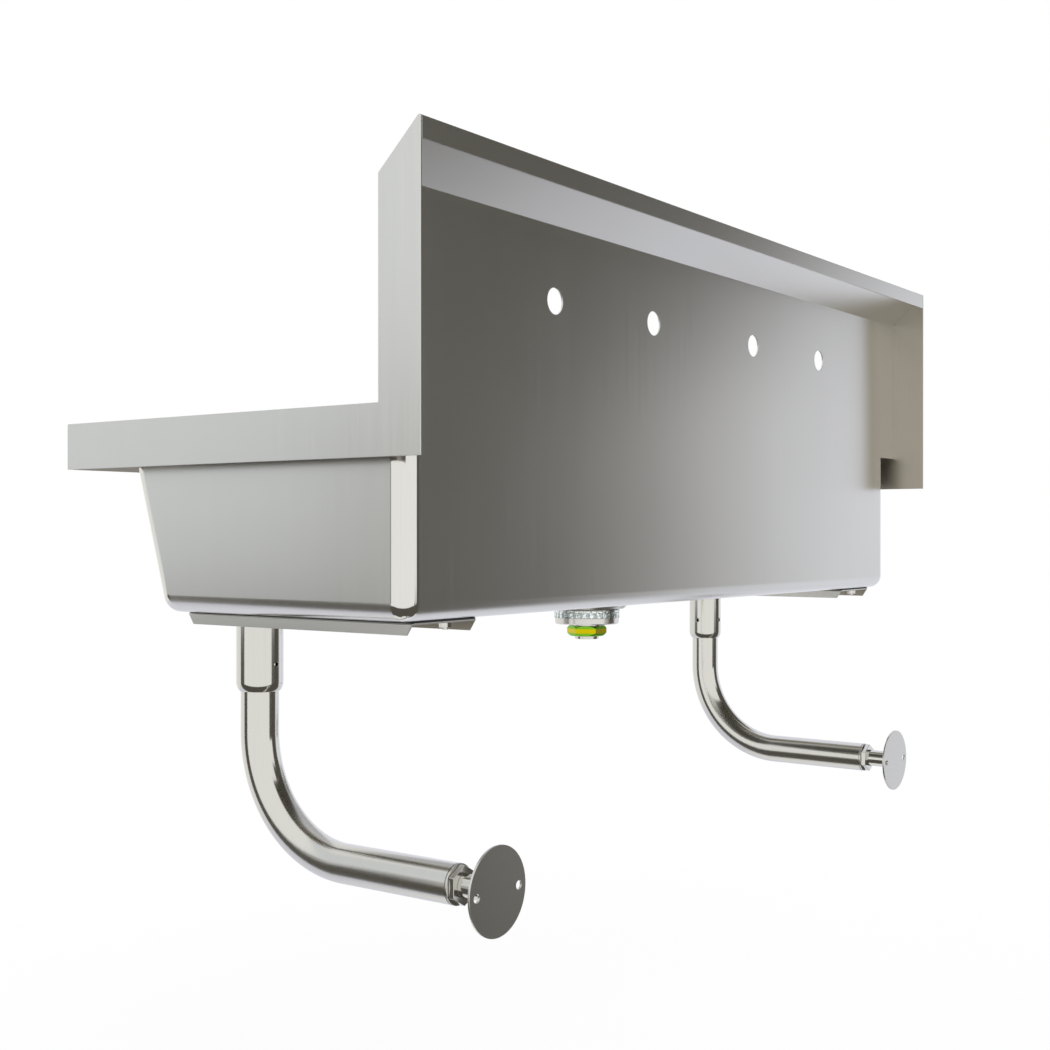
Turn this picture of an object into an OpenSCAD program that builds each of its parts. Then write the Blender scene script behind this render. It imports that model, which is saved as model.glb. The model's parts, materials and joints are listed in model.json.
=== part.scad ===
// Two-station stainless trough sink that hangs on a wall and is steadied by two bent tube legs.
// The origin is the middle of the hanging flange's back face, on the wall plane.
// X runs to the user's right, Y runs towards the wall, and Z runs up.

/* [Sink body] */
// Length of the sink, end face to end face
sink_length = 1219.2; // [1120:0.1:1500]
// Depth of the sink, from the wall to the front of the apron
sink_depth = 508; // [470:0.5:600]
// Height of the backsplash above the deck
splash_rise = 254.8; // [200:0.1:320]
// Gap between the wall and the back of the backsplash sheet
splash_standoff = 49; // [36:0.5:70]
// Height that the backsplash's sloping return climbs on its way to the wall
return_rise = 44.4; // [30:0.1:60]
// Height of the hanging flange that turns down along the wall
flange_drop = 21.4; // [12:0.1:40]
// Height of the apron and of the skirts at both ends
apron_drop = 50; // [30:0.5:80]
// Thickness of the stainless sheet
sheet_t = 1.9; // [1.2:0.1:3]

/* [Basin] */
// Width of the deck at each end, out to the basin's end wall
side_deck = 36.2; // [25:0.1:60]
// Width of the deck at the front, out to the basin's front wall
front_deck = 49; // [35:0.5:70]
// Depth of the basin, from the deck's top to the underside of its bottom
basin_drop = 204.5; // [160:0.5:260]
// Outer radius of the basin's corners and bottom edges
basin_r = 19; // [10:0.5:30]
// Lean of the basin's front wall from the vertical, in degrees
front_lean = 16.9; // [5:0.1:25]

/* [Faucet holes] */
// Distance between the two faucet stations
station_spacing = 457.2; // [420:0.1:560]
// Distance between the two holes of one faucet
faucet_centres = 203.2; // [150:0.1:210]
// Height of the faucet holes above the deck
faucet_height = 128; // [80:0.5:160]
// Diameter of a faucet hole
faucet_hole_d = 28.6; // [22:0.1:36]

/* [Drain recess] */
// Distance from the wall to the middle of the drain
drain_back = 229; // [190:0.5:260]
// Radius of the drain recess where it leaves the basin's bottom
recess_top_r = 62; // [56:0.5:75]
// Radius of the drain recess's flat floor, outside
recess_floor_r = 50; // [49.6:0.1:52]
// Depth of the drain recess
recess_drop = 14.4; // [8:0.1:20]

/* [Drain fitting] */
// Outer radius of the strainer's threaded cup
cup_r = 39.9; // [36:0.1:40.5]
// Wall of the strainer
cup_wall = 1.5; // [1:0.1:2.5]
// Depth of the cup below the recess floor
cup_drop = 20.5; // [19:0.1:26]
// Outer radius of the strainer's flange
strainer_flange_r = 47.5; // [44:0.1:47.6]
// Thickness of the strainer's flange
strainer_flange_t = 1.5; // [1:0.1:3]
// Outer radius of the strainer's threaded outlet
outlet_r = 19.65; // [17:0.05:22]
// Wall of the strainer's outlet
outlet_wall = 2.1; // [1.5:0.1:3]
// Length of the strainer's outlet below its cup
outlet_len = 11.5; // [10:0.1:14]
// Thickness of the rubber gasket under the sink
gasket_t = 1.5; // [1:0.1:3]
// Thickness of the slip washer under the gasket
slip_washer_t = 1; // [0.5:0.1:2]
// Outer radius of the locknut and of the slip washer
locknut_r = 43.4; // [42.5:0.1:46]
// Height of the locknut's top rim
locknut_rim = 2.3; // [1.5:0.1:4]
// Height of the locknut's notched band
locknut_band = 7.5; // [4:0.1:10]
// Height of the locknut's smooth lower band
locknut_skirt = 8.2; // [5:0.1:12]
// Step in from the notched band to the smooth band
locknut_step = 1.2; // [0.5:0.1:2]
// Number of notches round the locknut
notch_count = 30; // [16:1:40]
// Width of one notch
notch_w = 4.2; // [2:0.1:5]
// Depth of one notch
notch_depth = 1.2; // [0.5:0.1:1.6]

/* [Coupling nut] */
// Distance across the coupling nut's flats
coupling_af = 45.5; // [44:0.1:50]
// Height of the coupling nut
coupling_h = 13.5; // [12:0.1:18]
// Thickness of the lip at the coupling nut's foot
coupling_lip = 3; // [2:0.1:4]
// Height of the coupling nut's upper chamfer
coupling_bevel = 3; // [1:0.1:4]
// Gap between the locknut's foot and the coupling nut
coupling_gap = 2.6; // [1:0.1:6]

/* [Tailpiece] */
// Outer radius of the tailpiece
tail_r = 15.85; // [14:0.05:17]
// Wall of the tailpiece
tail_wall = 1.25; // [0.8:0.05:2]
// Length of the tailpiece that stands below the coupling nut
tail_out = 4; // [3:0.1:40]
// Thickness of the tailpiece's flange
tail_flange_t = 1.5; // [1:0.1:2.5]
// Thickness of the sealing washer above the tailpiece
tail_washer_t = 2; // [1:0.1:3]

/* [Strainer basket] */
// Outer radius of the basket
basket_r = 36.5; // [30:0.1:37.5]
// Wall of the basket
basket_wall = 1; // [0.8:0.1:2]
// Height of the basket
basket_h = 14; // [8:0.1:18]
// Radius of the rubber stopper
stopper_r = 22; // [20:0.1:26]
// Thickness of the rubber stopper
stopper_t = 3; // [2:0.1:5]
// Radius of the basket's post
post_r = 3; // [2:0.1:5]
// Height of the knob's top above the basket's floor
knob_rise = 27; // [18:0.5:32]
// Radius of the knob
knob_r = 9; // [6:0.1:12]
// Height of the knob
knob_h = 6; // [4:0.1:8]
// Radius of one drain hole in the basket
basket_hole_r = 2.4; // [1:0.1:3]

/* [Support channels] */
// Distance from the sink's end to the middle of a support
support_inset = 114.3; // [105:0.1:160]
// Width of a channel
channel_w = 98.8; // [75:0.1:110]
// Height of a channel
channel_h = 12; // [8:0.1:25]
// Thickness of a channel's sheet
channel_t = 1.9; // [1.2:0.1:3]
// Distance from the wall to a channel's back end
channel_back = 65; // [60:0.5:75]
// Length of a channel
channel_len = 320; // [300:0.5:330]
// Length that each end of a channel's sides is cut back at the foot
channel_cut = 8; // [0:0.5:15]
// Thickness of the rubber pad between a channel and the basin
pad_t = 1.6; // [1:0.1:3]
// Diameter of a weld stud
stud_d = 6.35; // [4:0.05:8]
// Distance from a channel's end to its stud
stud_inset = 12; // [10:0.5:16]
// Distance from a channel's middle line to its studs
stud_offset = 14; // [0:0.5:25]
// Distance across the flats of a channel nut
stud_nut_af = 11.1; // [8:0.1:14]
// Height of a channel nut
stud_nut_h = 5.6; // [3:0.1:8]
// Length of a stud that stands below its nut
stud_out = 2; // [0.5:0.1:4]

/* [Collars] */
// Outer diameter of a collar
collar_d = 50.8; // [47:0.1:60]
// Length of a collar
collar_len = 83; // [70:0.5:110]
// Height of the rounded lip at a collar's foot
lip_h = 9.7; // [5:0.1:12]
// Amount that the rounded lip draws in
lip_inset = 3.5; // [1:0.1:3.8]
// Distance from a collar's top to its set screws
set_screw_drop = 53.5; // [30:0.5:60]
// Diameter of a set screw
set_screw_d = 6.35; // [4:0.05:8]
// Length that a set screw stands out of its collar
set_screw_out = 0.6; // [0:0.1:3]
// Distance across the flats of a set screw's socket
socket_af = 3.2; // [2:0.1:4]
// Depth of a set screw's socket
socket_depth = 2; // [1:0.1:3]

/* [Legs] */
// Outer diameter of a leg tube
leg_d = 41.3; // [36:0.1:42]
// Wall of a leg tube
leg_wall = 1.65; // [1:0.05:3]
// Radius of a leg's bend, at the tube's middle line
leg_bend_r = 127; // [90:0.5:135]
// Distance from the wall to a leg's upright stretch
leg_back = 326; // [300:0.5:345]
// Distance from the deck's top down to a leg's level stretch
leg_drop = 462.7; // [430:0.5:560]
// Length of a leg inside its collar
leg_engage = 76; // [50:0.5:77]
// Distance from the wall to the end of a leg tube
leg_end_back = 49.5; // [46:0.5:65]

/* [Adjustable feet] */
// Length of an insert inside its leg tube
insert_len = 30; // [15:0.5:50]
// Thickness of an insert's flange
insert_flange_t = 2; // [1:0.1:4]
// Distance across the flats of an adjusting nut
adjust_nut_af = 35; // [30:0.1:40]
// Thickness of an adjusting nut
adjust_nut_t = 6.5; // [4:0.1:12]
// Diameter of a foot's shank
shank_d = 24; // [16:0.1:28]
// Length of a shank inside the leg tube
shank_in = 62; // [50:0.5:90]
// Diameter of a wall disc
disc_d = 88.9; // [80:0.1:120]
// Thickness of a wall disc
disc_t = 2.4; // [1.5:0.1:5]
// Distance between a wall disc's two screw holes
disc_screw_spacing = 66.6; // [50:0.1:68]
// Diameter of a wall disc's screw hole
disc_screw_d = 8.7; // [5:0.1:10]

/* [Fits] */
// Radial gap of a thread or of a pressed piece
thread_gap = 0.05; // [0.02:0.01:0.1]
// Radial gap between a leg and its collar
leg_gap = 0.4; // [0.3:0.05:0.8]
// Gap between pieces that move against each other
seat_gap = 0.3; // [0.2:0.05:0.5]
// Radial gap of a hole round a bolt or a cup
hole_gap = 0.5; // [0.3:0.05:1]

/* [Hidden] */
$fn = 96;

// Length that a cutting shape runs past what it cuts
overrun = 1;
// Amount that a rounded corner stands proud of its neighbours, so that each seam is a clean crossing
seam_proud = 0.02;
// Shares that set small shapes by the piece that carries them
bevel_share = 0.12;
lower_bevel_share = 1.35;
hole_ring_shares = [0.42, 0.75];
hole_ring_counts = [8, 16];
// Heights are counted from the deck's top, and this sets that level in the part's frame
deck_z = -(splash_rise - flange_drop / 2);

// Sheet places in the Y, Z section
splash_back = -splash_standoff;
splash_front = splash_back - sheet_t;
front_face = -sink_depth;
inner_length = sink_length - 2 * sheet_t;
fold_low = [splash_back, splash_rise - sheet_t - return_rise];
fold_high = [-sheet_t, splash_rise - sheet_t];
return_angle = atan2(fold_high[1] - fold_low[1], fold_high[0] - fold_low[0]);
return_normal = [-sin(return_angle), cos(return_angle)];
flange_foot = splash_rise - flange_drop;

// Basin places
basin_end = sink_length / 2 - side_deck;
core_x = basin_end - basin_r;
core_back = splash_back - basin_r;
core_low = basin_r - basin_drop;
wall_top = -sheet_t;
front_top = -(sink_depth - front_deck);
basin_inner_r = basin_r - sheet_t;
function front_wall_y(z, r) = front_top + (wall_top - z) * tan(front_lean) + r / cos(front_lean);
front_low = front_wall_y(core_low, basin_r);
floor_z = sheet_t - basin_drop;
recess_floor = floor_z - recess_drop;
recess_under = recess_floor - sheet_t;
recess_grow = (recess_top_r - recess_floor_r) / recess_drop;

// Drain fitting places, downwards
gasket_z = recess_under - gasket_t;
slip_washer_z = gasket_z - slip_washer_t;
locknut_h = locknut_rim + locknut_band + locknut_skirt;
locknut_z = slip_washer_z - locknut_h;
cup_z = recess_floor - cup_drop;
cup_floor = cup_z + cup_wall;
outlet_z = cup_z - outlet_len;
tail_washer_z = outlet_z - tail_washer_t;
tail_flange_z = tail_washer_z - tail_flange_t;
coupling_z = tail_flange_z - coupling_lip;
tail_z = coupling_z - tail_out;
drain_hole_r = cup_r + hole_gap;
basket_z = cup_floor + seat_gap + stopper_t;

// Support places
support_x = sink_length / 2 - support_inset;
pad_z = -basin_drop - pad_t;
web_z = pad_z - channel_t;
channel_z = pad_z - channel_h;
channel_front = -(channel_back + channel_len);
stud_back = -(channel_back + stud_inset);
stud_front = channel_front + stud_inset;
stud_z = web_z - stud_nut_h - stud_out;
collar_z = web_z - collar_len;
collar_bore_r = leg_d / 2 + leg_gap;
lip_r = (pow(lip_h, 2) + pow(lip_inset, 2)) / (2 * lip_inset);
set_screw_z = web_z - set_screw_drop;
set_screw_len = collar_d / 2 + set_screw_out - leg_d / 2 - seat_gap;
leg_top = collar_z + leg_engage;
leg_inner_r = leg_d / 2 - leg_wall;
bend_y = leg_bend_r - leg_back;
bend_z = leg_bend_r - leg_drop;
insert_face = insert_flange_t - leg_end_back;
nut_face = insert_face + seat_gap;

module along_x(length) {
    translate([-length / 2, 0, 0])
        rotate([90, 0, 90])
            linear_extrude(length)
                children();
}

// Lays a shape drawn along Z so that it runs towards the wall from its foot
module toward_wall() {
    rotate([-90, 0, 0])
        children();
}

// Hexagonal nut with its corners turned down by a bevel at both ends
module hex_nut(af, height, bore_r, top_bevel, foot_bevel) {
    corner_r = af / 2 / cos(30);
    difference() {
        intersection() {
            cylinder(h = height, r = corner_r, $fn = 6);
            rotate_extrude()
                polygon([
                    [0, 0],
                    [corner_r - foot_bevel, 0],
                    [corner_r, foot_bevel],
                    [corner_r, height - top_bevel],
                    [corner_r - top_bevel, height],
                    [0, height]
                ]);
        }
        translate([0, 0, -overrun])
            cylinder(h = height + 2 * overrun, r = bore_r);
    }
}

module ring(outer_r, inner_r, height) {
    difference() {
        cylinder(h = height, r = outer_r);
        translate([0, 0, -overrun])
            cylinder(h = height + 2 * overrun, r = inner_r);
    }
}

// Quarter of a disc, between the X axis and the Y axis
module quarter_disc(r) {
    intersection() {
        circle(r);
        square(r);
    }
}

// Rounded end of the basin, beyond the centres of its corners; each ball keeps its poles inside
module basin_side(r, top) {
    ball_r = r + 2 * seam_proud;
    translate([core_x, core_back, core_low]) {
        rotate_extrude(angle = 90)
            square([r, top - core_low]);
        rotate([90, 0, 0])
            linear_extrude(core_back - front_low)
                mirror([0, 1])
                    quarter_disc(r);
        rotate([45, 0, 180])
            sphere(ball_r);
    }
    translate([core_x, front_low, core_low]) {
        rotate([-45, 0, 180])
            sphere(ball_r);
        rotate([front_lean, 0, 0])
            cylinder(h = (top - core_low) / cos(front_lean), r = r + seam_proud);
    }
}

// Basin shape grown by r from the lines that join its corner centres, and cut level at its top
module basin_body(r, top) {
    over = top + basin_r;
    front_high = front_wall_y(over, basin_r);
    difference() {
        union() {
            along_x(2 * core_x) {
                polygon([
                    [core_back + r, over],
                    [front_high - r / cos(front_lean), over],
                    [front_low - r * cos(front_lean), core_low - r * sin(front_lean)],
                    [front_low, core_low - r],
                    [core_back, core_low - r],
                    [core_back + r, core_low]
                ]);
                translate([core_back, core_low])
                    circle(r);
                translate([front_low, core_low])
                    circle(r + seam_proud);
            }
            along_x(2 * (core_x + r))
                polygon([[core_back, over], [front_high, over], [front_low, core_low], [core_back, core_low]]);
            for (side = [0, 1])
                mirror([side, 0, 0])
                    basin_side(r, over);
        }
        translate([-sink_length / 2, -2 * sink_depth, top])
            cube([sink_length, 2 * sink_depth, 3 * basin_r]);
    }
}

module basin() {
    color("#b4b6b6")
        translate([0, 0, deck_z])
            difference() {
                union() {
                    basin_body(basin_r, wall_top);
                    translate([0, -drain_back, recess_under])
                        cylinder(h = recess_drop, r1 = recess_floor_r, r2 = recess_top_r);
                }
                basin_body(basin_inner_r, wall_top + overrun);
                translate([0, -drain_back, recess_floor])
                    cylinder(
                        h = recess_drop + overrun,
                        r1 = recess_floor_r - sheet_t,
                        r2 = recess_top_r - sheet_t + overrun * recess_grow
                    );
                translate([0, -drain_back, recess_under - overrun])
                    cylinder(h = sheet_t + 2 * overrun, r = drain_hole_r);
            }
}

module deck() {
    inner_end = basin_end - sheet_t;
    inner_front = front_wall_y(wall_top, sheet_t);
    color("#bcbec0")
        translate([0, 0, deck_z])
            difference() {
                along_x(inner_length)
                    difference() {
                        union() {
                            polygon([
                                [front_face, -apron_drop],
                                [splash_front, -apron_drop],
                                [splash_front, 0],
                                [front_face + sheet_t, 0],
                                [front_face, -sheet_t]
                            ]);
                            translate([front_face + sheet_t, -sheet_t])
                                circle(sheet_t);
                        }
                        polygon([
                            [front_face + sheet_t, -apron_drop - overrun],
                            [splash_front + overrun, -apron_drop - overrun],
                            [splash_front + overrun, -sheet_t],
                            [front_face + sheet_t, -sheet_t]
                        ]);
                    }
                translate([0, 0, -sheet_t - overrun])
                    linear_extrude(sheet_t + 2 * overrun)
                        basin_mouth(inner_end, inner_front);
            }
}

// Opening of the deck over the basin, run a little past the splash so that no feather edge is left
module basin_mouth(inner_end, inner_front) {
    mouth_back = splash_front + overrun / 2;
    for (side = [-1, 1]) {
        translate([side * (inner_end - basin_inner_r), inner_front + basin_inner_r])
            circle(basin_inner_r);
        translate([side * (inner_end - basin_inner_r), mouth_back - basin_inner_r])
            circle(basin_inner_r);
    }
    polygon([
        [-inner_end + basin_inner_r, inner_front],
        [inner_end - basin_inner_r, inner_front],
        [inner_end, inner_front + basin_inner_r],
        [inner_end, mouth_back - basin_inner_r],
        [inner_end - basin_inner_r, mouth_back],
        [-inner_end + basin_inner_r, mouth_back],
        [-inner_end, mouth_back - basin_inner_r],
        [-inner_end, inner_front + basin_inner_r]
    ]);
}

// Filled side outline of the backsplash, from a foot level up
module splash_outline(foot) {
    polygon([
        [splash_front, foot],
        [0, foot],
        [0, fold_high[1]],
        fold_high + sheet_t * return_normal,
        fold_low + sheet_t * return_normal,
        [splash_front, fold_low[1]]
    ]);
    translate(fold_low)
        circle(sheet_t);
    translate(fold_high)
        circle(sheet_t);
}

module backsplash() {
    color("#8f8f8c")
        translate([0, 0, deck_z])
            difference() {
                along_x(inner_length)
                    difference() {
                        splash_outline(wall_top);
                        polygon([
                            [splash_back, wall_top - overrun],
                            fold_low,
                            fold_high,
                            [-sheet_t, flange_foot],
                            [overrun, flange_foot],
                            [overrun, wall_top - overrun]
                        ]);
                    }
                for (station = [-1, 1], side = [-1, 1])
                    translate([
                        station * station_spacing / 2 + side * faucet_centres / 2,
                        splash_front - overrun,
                        faucet_height
                    ])
                        toward_wall()
                            cylinder(h = sheet_t + 2 * overrun, r = faucet_hole_d / 2);
            }
}

module end_panel(side) {
    color("#c4c6c8")
        translate([side * (sink_length - sheet_t) / 2, 0, deck_z])
            along_x(sheet_t) {
                splash_outline(-apron_drop);
                polygon([
                    [front_face, -apron_drop],
                    [splash_back, -apron_drop],
                    [splash_back, 0],
                    [front_face + sheet_t, 0],
                    [front_face, -sheet_t]
                ]);
                translate([front_face + sheet_t, -sheet_t])
                    circle(sheet_t);
            }
}

module channel(side) {
    inner_w = channel_w / 2 - channel_t;
    color("#9fa0a0")
        translate([side * support_x, 0, deck_z])
            difference() {
                intersection() {
                    translate([0, -channel_back, 0])
                        rotate([90, 0, 0])
                            linear_extrude(channel_len)
                                difference() {
                                    union() {
                                        polygon([
                                            [-channel_w / 2, channel_z],
                                            [channel_w / 2, channel_z],
                                            [channel_w / 2, web_z],
                                            [inner_w, pad_z],
                                            [-inner_w, pad_z],
                                            [-channel_w / 2, web_z]
                                        ]);
                                        for (edge = [-1, 1])
                                            translate([edge * inner_w, web_z])
                                                circle(channel_t);
                                    }
                                    polygon([
                                        [-inner_w, channel_z - overrun],
                                        [inner_w, channel_z - overrun],
                                        [inner_w, web_z],
                                        [-inner_w, web_z]
                                    ]);
                                }
                    along_x(channel_w + 2 * overrun)
                        polygon([
                            [channel_front, pad_z],
                            [-channel_back, pad_z],
                            [-channel_back - channel_cut, channel_z],
                            [channel_front + channel_cut, channel_z]
                        ]);
                }
                stud_holes(web_z - overrun, channel_t + 2 * overrun);
            }
}

module stud_holes(low, height) {
    for (y = [stud_back, stud_front])
        translate([-stud_offset, y, low])
            cylinder(h = height, r = stud_d / 2 + hole_gap);
}

module channel_pad(side) {
    color("#1d1d1d")
        translate([side * support_x, 0, deck_z])
            difference() {
                translate([-channel_w / 2 + channel_t, channel_front, pad_z])
                    cube([channel_w - 2 * channel_t, channel_len, pad_t]);
                stud_holes(pad_z - overrun, pad_t + 2 * overrun);
            }
}

module channel_studs(side) {
    color("#c8c8c4")
        translate([side * support_x, 0, deck_z])
            for (y = [stud_back, stud_front])
                translate([-stud_offset, y, stud_z])
                    cylinder(h = -basin_drop - stud_z, r = stud_d / 2);
}

module channel_nuts(side) {
    color("#dcdcd8")
        translate([side * support_x, 0, deck_z])
            for (y = [stud_back, stud_front])
                translate([-stud_offset, y, web_z - stud_nut_h])
                    hex_nut(
                        stud_nut_af,
                        stud_nut_h,
                        stud_d / 2 + thread_gap,
                        stud_nut_h * bevel_share,
                        stud_nut_h * bevel_share
                    );
}

// Directions of a collar's two set screws: towards the wall and towards the sink's middle
module at_set_screws(side) {
    for (turn = [90, side > 0 ? 180 : 0])
        translate([side * support_x, -leg_back, set_screw_z])
            rotate([0, 90, turn])
                children();
}

module collar(side) {
    color("#b9b8b2")
        translate([0, 0, deck_z])
            difference() {
                translate([side * support_x, -leg_back, collar_z])
                    rotate_extrude()
                        intersection() {
                            polygon([
                                [collar_bore_r, 0],
                                [collar_d / 2, 0],
                                [collar_d / 2, collar_len],
                                [collar_bore_r, collar_len]
                            ]);
                            union() {
                                polygon([
                                    [0, lip_h],
                                    [collar_d / 2, lip_h],
                                    [collar_d / 2, collar_len],
                                    [0, collar_len]
                                ]);
                                translate([collar_d / 2 - lip_r, lip_h])
                                    circle(lip_r);
                            }
                        }
                at_set_screws(side)
                    cylinder(h = collar_d, r = set_screw_d / 2 + thread_gap);
            }
}

module set_screws(side) {
    color("#d8d8d4")
        translate([0, 0, deck_z])
            at_set_screws(side)
                translate([0, 0, leg_d / 2 + seat_gap])
                    difference() {
                        cylinder(h = set_screw_len, r = set_screw_d / 2);
                        translate([0, 0, set_screw_len - socket_depth])
                            cylinder(h = socket_depth + overrun, r = socket_af / 2 / cos(30), $fn = 6);
                    }
}

// Upright stretch, bend and level stretch of a leg, as a solid rod of radius r
module leg_rod(r, extra) {
    translate([0, -leg_back, bend_z])
        cylinder(h = leg_top - bend_z + extra, r = r);
    translate([0, bend_y, bend_z])
        rotate([90, 0, 90])
            rotate([0, 0, 180])
                rotate_extrude(angle = 90)
                    translate([leg_bend_r, 0])
                        circle(r);
    translate([0, bend_y, -leg_drop])
        toward_wall()
            cylinder(h = -leg_end_back - bend_y + extra, r = r);
}

module leg_tube(side) {
    color("#c9c8c2")
        translate([side * support_x, 0, deck_z])
            difference() {
                leg_rod(leg_d / 2, 0);
                leg_rod(leg_inner_r, overrun);
            }
}

module leg_insert(side) {
    color("#a9a9a4")
        translate([side * support_x, -leg_end_back, deck_z - leg_drop])
            toward_wall()
                difference() {
                    union() {
                        translate([0, 0, -insert_len])
                            cylinder(h = insert_len, r = leg_inner_r - thread_gap);
                        cylinder(h = insert_flange_t, r = leg_d / 2);
                    }
                    translate([0, 0, -insert_len - overrun])
                        cylinder(h = insert_len + insert_flange_t + 2 * overrun, r = shank_d / 2 + thread_gap);
                }
}

module adjusting_nut(side) {
    color("#d6d5d0")
        translate([side * support_x, nut_face, deck_z - leg_drop])
            toward_wall()
                rotate([0, 0, 90])
                    hex_nut(
                        adjust_nut_af,
                        adjust_nut_t,
                        shank_d / 2 + thread_gap,
                        adjust_nut_t * bevel_share,
                        adjust_nut_t * bevel_share
                    );
}

module foot_shank(side) {
    color("#cfcec8")
        translate([side * support_x, -leg_end_back - shank_in, deck_z - leg_drop])
            toward_wall()
                cylinder(h = shank_in + leg_end_back - disc_t, r = shank_d / 2);
}

module wall_disc(side) {
    color("#77766f")
        translate([side * support_x, -disc_t, deck_z - leg_drop])
            toward_wall()
                difference() {
                    cylinder(h = disc_t, r = disc_d / 2);
                    for (hole = [-1, 1])
                        translate([hole * disc_screw_spacing / 2, 0, -overrun])
                            cylinder(h = disc_t + 2 * overrun, r = disc_screw_d / 2);
                }
}

module at_drain(z) {
    translate([0, -drain_back, deck_z + z])
        children();
}

module strainer_body() {
    color("#c2c3c2")
        at_drain(0)
            rotate_extrude()
                difference() {
                    polygon([
                        [0, cup_z],
                        [0, recess_floor + strainer_flange_t],
                        [strainer_flange_r, recess_floor + strainer_flange_t],
                        [strainer_flange_r, recess_floor],
                        [cup_r, recess_floor],
                        [cup_r, cup_z],
                        [outlet_r, cup_z],
                        [outlet_r, outlet_z],
                        [0, outlet_z]
                    ]);
                    polygon([
                        [-overrun, outlet_z - overrun],
                        [outlet_r - outlet_wall, outlet_z - overrun],
                        [outlet_r - outlet_wall, cup_floor],
                        [cup_r - cup_wall, cup_floor],
                        [cup_r - cup_wall, recess_floor + strainer_flange_t + overrun],
                        [-overrun, recess_floor + strainer_flange_t + overrun]
                    ]);
                }
}

module strainer_gasket() {
    color("#1a1a1a")
        at_drain(gasket_z)
            ring(locknut_r - locknut_step, drain_hole_r, gasket_t);
}

module slip_washer() {
    color("#b7b8b6")
        at_drain(slip_washer_z)
            ring(locknut_r, drain_hole_r, slip_washer_t);
}

module strainer_locknut() {
    skirt_r = locknut_r - locknut_step;
    color("#c9cccb")
        at_drain(locknut_z)
            difference() {
                union() {
                    rotate_extrude()
                        polygon([
                            [0, 0],
                            [skirt_r - locknut_step, 0],
                            [skirt_r, locknut_step],
                            [skirt_r, locknut_skirt],
                            [0, locknut_skirt]
                        ]);
                    translate([0, 0, locknut_skirt])
                        cylinder(h = locknut_band + locknut_rim, r = locknut_r);
                }
                translate([0, 0, -overrun])
                    cylinder(h = locknut_h + 2 * overrun, r = cup_r + thread_gap);
                for (notch = [0:notch_count - 1])
                    rotate([0, 0, notch * 360 / notch_count])
                        translate([locknut_r - notch_depth, -notch_w / 2, locknut_skirt - overrun])
                            cube([notch_depth + overrun, notch_w, locknut_band + overrun]);
            }
}

module coupling_nut() {
    height = coupling_h;
    color("#d9cf1f")
        at_drain(coupling_z)
            difference() {
                hex_nut(
                    coupling_af,
                    height,
                    tail_r + hole_gap,
                    coupling_bevel,
                    coupling_bevel * lower_bevel_share
                );
                translate([0, 0, coupling_lip])
                    cylinder(h = height, r = outlet_r + thread_gap);
            }
}

module tailpiece_washer() {
    color("#e9e9e4")
        at_drain(tail_washer_z)
            ring(outlet_r - thread_gap, tail_r - tail_wall, tail_washer_t);
}

module tailpiece() {
    neck_r = tail_r - tail_wall / 4;
    color("#c4c5c4")
        at_drain(tail_z)
            difference() {
                union() {
                    cylinder(h = tail_out, r = tail_r);
                    translate([0, 0, tail_out])
                        cylinder(h = coupling_lip, r = neck_r);
                    translate([0, 0, tail_out + coupling_lip])
                        cylinder(h = tail_flange_t, r = outlet_r - thread_gap);
                }
                translate([0, 0, -overrun])
                    cylinder(
                        h = tail_out + coupling_lip + tail_flange_t + 2 * overrun,
                        r = tail_r - tail_wall
                    );
            }
}

module strainer_basket() {
    inner_r = basket_r - basket_wall;
    color("#cfd0cf")
        at_drain(basket_z)
            difference() {
                cylinder(h = basket_h, r = basket_r);
                translate([0, 0, basket_wall])
                    cylinder(h = basket_h, r = inner_r);
                translate([0, 0, -overrun])
                    cylinder(h = basket_wall + 2 * overrun, r = post_r + thread_gap);
                for (row = [0:len(hole_ring_shares) - 1], hole = [0:hole_ring_counts[row] - 1])
                    rotate([0, 0, hole * 360 / hole_ring_counts[row]])
                        translate([inner_r * hole_ring_shares[row], 0, -overrun])
                            cylinder(h = basket_wall + 2 * overrun, r = basket_hole_r, $fn = 24);
            }
}

module basket_knob() {
    post_foot = basket_z - stopper_t;
    color("#2b2b2b")
        at_drain(post_foot)
            rotate_extrude()
                polygon([
                    [0, 0],
                    [post_r, 0],
                    [post_r, stopper_t + knob_rise - knob_h],
                    [knob_r - knob_h * bevel_share, stopper_t + knob_rise - knob_h],
                    [knob_r, stopper_t + knob_rise - knob_h * (1 - bevel_share)],
                    [knob_r, stopper_t + knob_rise - knob_h * bevel_share],
                    [knob_r - knob_h * bevel_share, stopper_t + knob_rise],
                    [0, stopper_t + knob_rise]
                ]);
}

module basket_stopper() {
    color("#202020")
        at_drain(basket_z - stopper_t)
            ring(stopper_r, post_r + thread_gap, stopper_t);
}

basin();
deck();
backsplash();
end_panel(-1);  // left_end_panel
end_panel(1);  // right_end_panel
channel(-1);  // left_channel
channel(1);  // right_channel
channel_pad(-1);  // left_channel_pad
channel_pad(1);  // right_channel_pad
channel_studs(-1);  // left_channel_studs
channel_studs(1);  // right_channel_studs
channel_nuts(-1);  // left_channel_nuts
channel_nuts(1);  // right_channel_nuts
collar(-1);  // left_collar
collar(1);  // right_collar
set_screws(-1);  // left_set_screws
set_screws(1);  // right_set_screws
leg_tube(-1);  // left_leg_tube
leg_tube(1);  // right_leg_tube
leg_insert(-1);  // left_leg_insert
leg_insert(1);  // right_leg_insert
adjusting_nut(-1);  // left_adjusting_nut
adjusting_nut(1);  // right_adjusting_nut
foot_shank(-1);  // left_foot_shank
foot_shank(1);  // right_foot_shank
wall_disc(-1);  // left_wall_disc
wall_disc(1);  // right_wall_disc
strainer_body();
strainer_gasket();
slip_washer();
strainer_locknut();
coupling_nut();
tailpiece_washer();
tailpiece();
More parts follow.
